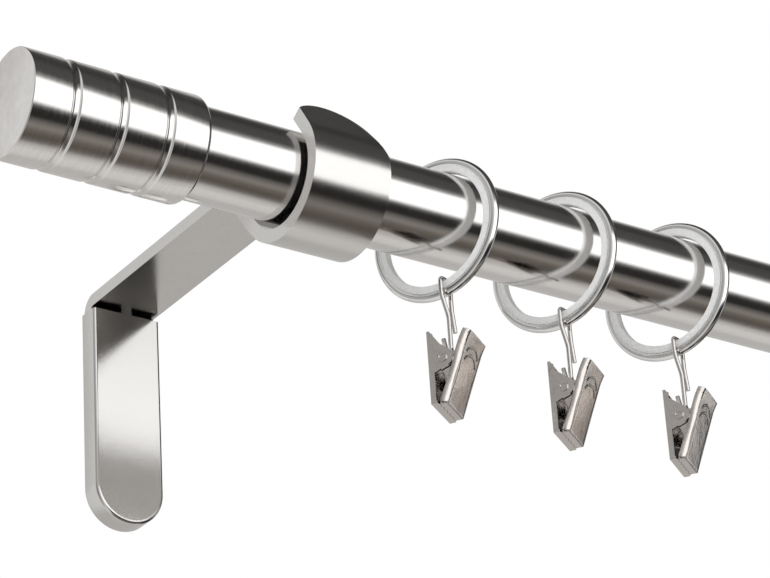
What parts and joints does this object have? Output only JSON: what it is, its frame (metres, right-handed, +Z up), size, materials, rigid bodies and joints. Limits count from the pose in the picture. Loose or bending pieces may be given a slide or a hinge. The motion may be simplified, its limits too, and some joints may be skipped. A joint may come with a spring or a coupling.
{
  "type": "curtain rod with brackets",
  "caption": "Brushed steel curtain rod lying in open cradle brackets, with grooved end finials and clip rings that slide along it",
  "frame": {"origin": "middle of the left bracket screw holes, on the wall plane", "axes": "X along the rod from left to right, +Y into the wall, +Z up"},
  "size_m": [0.6103, 0.1411, 0.0858],
  "materials": {
    "satin_steel": "satin nickel on steel, fine even brushing",
    "rod_steel": "satin stainless tube, brushed round",
    "finial_steel": "turned and brushed round, polished grooves",
    "pad_rubber": "matt soft strip",
    "plug_plastic": "moulded plastic",
    "ring_chrome": "bright plated wire",
    "liner_nylon": "pale translucent nylon",
    "link_steel": "bright plated wire",
    "clip_nickel": "bright nickel on pressed steel",
    "spring_steel": "plain spring wire"
  },
  "bodies": {
    "bracket": {"left_bracket_bar": "satin_steel", "left_cradle_pad": "pad_rubber", "right_bracket_bar": "satin_steel", "right_cradle_pad": "pad_rubber"},
    "left_cover": {"left_bracket_cover": "satin_steel"},
    "right_cover": {"right_bracket_cover": "satin_steel"},
    "rod": {"rod": "rod_steel"},
    "left_finial": {"left_finial_cap": "finial_steel", "left_finial_plug": "plug_plastic"},
    "right_finial": {"right_finial_cap": "finial_steel", "right_finial_plug": "plug_plastic"},
    "ring_1": {"ring_1_wire": "ring_chrome", "ring_1_liner": "liner_nylon"},
    "link_1": {"link_1": "link_steel"},
    "clip_1": {"clip_1_back_jaw": "clip_nickel", "clip_1_rivet": "clip_nickel", "clip_1_spring": "spring_steel"},
    "jaw_1": {"clip_1_front_jaw": "clip_nickel"},
    "ring_2": {"ring_2_wire": "ring_chrome", "ring_2_liner": "liner_nylon"},
    "link_2": {"link_2": "link_steel"},
    "clip_2": {"clip_2_back_jaw": "clip_nickel", "clip_2_rivet": "clip_nickel", "clip_2_spring": "spring_steel"},
    "jaw_2": {"clip_2_front_jaw": "clip_nickel"},
    "ring_3": {"ring_3_wire": "ring_chrome", "ring_3_liner": "liner_nylon"},
    "link_3": {"link_3": "link_steel"},
    "clip_3": {"clip_3_back_jaw": "clip_nickel", "clip_3_rivet": "clip_nickel", "clip_3_spring": "spring_steel"},
    "jaw_3": {"clip_3_front_jaw": "clip_nickel"},
    "ring_4": {"ring_4_wire": "ring_chrome", "ring_4_liner": "liner_nylon"},
    "link_4": {"link_4": "link_steel"},
    "clip_4": {"clip_4_back_jaw": "clip_nickel", "clip_4_rivet": "clip_nickel", "clip_4_spring": "spring_steel"},
    "jaw_4": {"clip_4_front_jaw": "clip_nickel"},
    "ring_5": {"ring_5_wire": "ring_chrome", "ring_5_liner": "liner_nylon"},
    "link_5": {"link_5": "link_steel"},
    "clip_5": {"clip_5_back_jaw": "clip_nickel", "clip_5_rivet": "clip_nickel", "clip_5_spring": "spring_steel"},
    "jaw_5": {"clip_5_front_jaw": "clip_nickel"},
    "ring_6": {"ring_6_wire": "ring_chrome", "ring_6_liner": "liner_nylon"},
    "link_6": {"link_6": "link_steel"},
    "clip_6": {"clip_6_back_jaw": "clip_nickel", "clip_6_rivet": "clip_nickel", "clip_6_spring": "spring_steel"},
    "jaw_6": {"clip_6_front_jaw": "clip_nickel"}
  },
  "joints": [
    {"name": "left_cover_pull", "type": "slide", "parent": "bracket", "child": "left_cover", "axis": [0, -1, 0], "range_m": [0, 0.014]},
    {"name": "right_cover_pull", "type": "slide", "parent": "bracket", "child": "right_cover", "axis": [0, -1, 0], "range_m": [0, 0.014]},
    {"name": "rod_lift_out", "type": "slide", "parent": "bracket", "child": "rod", "axis": [0, 0.5878, 0.809], "range_m": [0, 0.045]},
    {"name": "left_finial_pull", "type": "slide", "parent": "rod", "child": "left_finial", "axis": [-1, 0, 0], "range_m": [0, 0.055]},
    {"name": "right_finial_pull", "type": "slide", "parent": "rod", "child": "right_finial", "axis": [1, 0, 0], "range_m": [0, 0.055]},
    {"name": "ring_1_slide", "type": "slide", "parent": "rod", "child": "ring_1", "axis": [1, 0, 0], "range_m": [-0.0109, 0.0113]},
    {"name": "link_1_swing", "type": "hinge", "parent": "ring_1", "child": "link_1", "pos_m": [0.04377, -0.12075, 0.00935], "axis": [0.9511, 0.309, 0], "range_deg": [-35, 35]},
    {"name": "clip_1_tilt", "type": "hinge", "parent": "link_1", "child": "clip_1", "pos_m": [0.04411, -0.12023, -0.01925], "axis": [0.8241, 0.5664, 0], "range_deg": [-12, 4]},
    {"name": "clip_1_open", "type": "hinge", "parent": "clip_1", "child": "jaw_1", "pos_m": [0.04411, -0.12023, -0.01925], "axis": [-0.8241, -0.5664, 0], "range_deg": [0, 22], "stiffness_Nm_per_rad": 0.05, "springref_deg": -34.38, "deforming": ["clip_1_spring"]},
    {"name": "ring_2_slide", "type": "slide", "parent": "rod", "child": "ring_2", "axis": [1, 0, 0], "range_m": [-0.0113, 0.0113]},
    {"name": "link_2_swing", "type": "hinge", "parent": "ring_2", "child": "link_2", "pos_m": [0.08837, -0.12075, 0.00935], "axis": [0.9511, 0.309, 0], "range_deg": [-35, 35]},
    {"name": "clip_2_tilt", "type": "hinge", "parent": "link_2", "child": "clip_2", "pos_m": [0.08871, -0.12023, -0.01925], "axis": [0.8241, 0.5664, 0], "range_deg": [-12, 4]},
    {"name": "clip_2_open", "type": "hinge", "parent": "clip_2", "child": "jaw_2", "pos_m": [0.08871, -0.12023, -0.01925], "axis": [-0.8241, -0.5664, 0], "range_deg": [0, 22], "stiffness_Nm_per_rad": 0.05, "springref_deg": -34.38, "deforming": ["clip_2_spring"]},
    {"name": "ring_3_slide", "type": "slide", "parent": "rod", "child": "ring_3", "axis": [1, 0, 0], "range_m": [-0.0113, 0.0596]},
    {"name": "link_3_swing", "type": "hinge", "parent": "ring_3", "child": "link_3", "pos_m": [0.13297, -0.12075, 0.00935], "axis": [0.9511, 0.309, 0], "range_deg": [-35, 35]},
    {"name": "clip_3_tilt", "type": "hinge", "parent": "link_3", "child": "clip_3", "pos_m": [0.13331, -0.12023, -0.01925], "axis": [0.8241, 0.5664, 0], "range_deg": [-12, 4]},
    {"name": "clip_3_open", "type": "hinge", "parent": "clip_3", "child": "jaw_3", "pos_m": [0.13331, -0.12023, -0.01925], "axis": [-0.8241, -0.5664, 0], "range_deg": [0, 22], "stiffness_Nm_per_rad": 0.05, "springref_deg": -34.38, "deforming": ["clip_3_spring"]},
    {"name": "ring_4_slide", "type": "slide", "parent": "rod", "child": "ring_4", "axis": [1, 0, 0], "range_m": [-0.0596, 0.0113]},
    {"name": "link_4_swing", "type": "hinge", "parent": "ring_4", "child": "link_4", "pos_m": [0.27417, -0.12075, 0.00935], "axis": [0.9511, 0.309, 0], "range_deg": [-35, 35]},
    {"name": "clip_4_tilt", "type": "hinge", "parent": "link_4", "child": "clip_4", "pos_m": [0.27451, -0.12023, -0.01925], "axis": [0.8241, 0.5664, 0], "range_deg": [-12, 4]},
    {"name": "clip_4_open", "type": "hinge", "parent": "clip_4", "child": "jaw_4", "pos_m": [0.27451, -0.12023, -0.01925], "axis": [-0.8241, -0.5664, 0], "range_deg": [0, 22], "stiffness_Nm_per_rad": 0.05, "springref_deg": -34.38, "deforming": ["clip_4_spring"]},
    {"name": "ring_5_slide", "type": "slide", "parent": "rod", "child": "ring_5", "axis": [1, 0, 0], "range_m": [-0.0113, 0.0113]},
    {"name": "link_5_swing", "type": "hinge", "parent": "ring_5", "child": "link_5", "pos_m": [0.31877, -0.12075, 0.00935], "axis": [0.9511, 0.309, 0], "range_deg": [-35, 35]},
    {"name": "clip_5_tilt", "type": "hinge", "parent": "link_5", "child": "clip_5", "pos_m": [0.31911, -0.12023, -0.01925], "axis": [0.8241, 0.5664, 0], "range_deg": [-12, 4]},
    {"name": "clip_5_open", "type": "hinge", "parent": "clip_5", "child": "jaw_5", "pos_m": [0.31911, -0.12023, -0.01925], "axis": [-0.8241, -0.5664, 0], "range_deg": [0, 22], "stiffness_Nm_per_rad": 0.05, "springref_deg": -34.38, "deforming": ["clip_5_spring"]},
    {"name": "ring_6_slide", "type": "slide", "parent": "rod", "child": "ring_6", "axis": [1, 0, 0], "range_m": [-0.0113, 0.0108]},
    {"name": "link_6_swing", "type": "hinge", "parent": "ring_6", "child": "link_6", "pos_m": [0.36337, -0.12075, 0.00935], "axis": [0.9511, 0.309, 0], "range_deg": [-35, 35]},
    {"name": "clip_6_tilt", "type": "hinge", "parent": "link_6", "child": "clip_6", "pos_m": [0.36371, -0.12023, -0.01925], "axis": [0.8241, 0.5664, 0], "range_deg": [-12, 4]},
    {"name": "clip_6_open", "type": "hinge", "parent": "clip_6", "child": "jaw_6", "pos_m": [0.36371, -0.12023, -0.01925], "axis": [-0.8241, -0.5664, 0], "range_deg": [0, 22], "stiffness_Nm_per_rad": 0.05, "springref_deg": -34.38, "deforming": ["clip_6_spring"]}
  ]
}
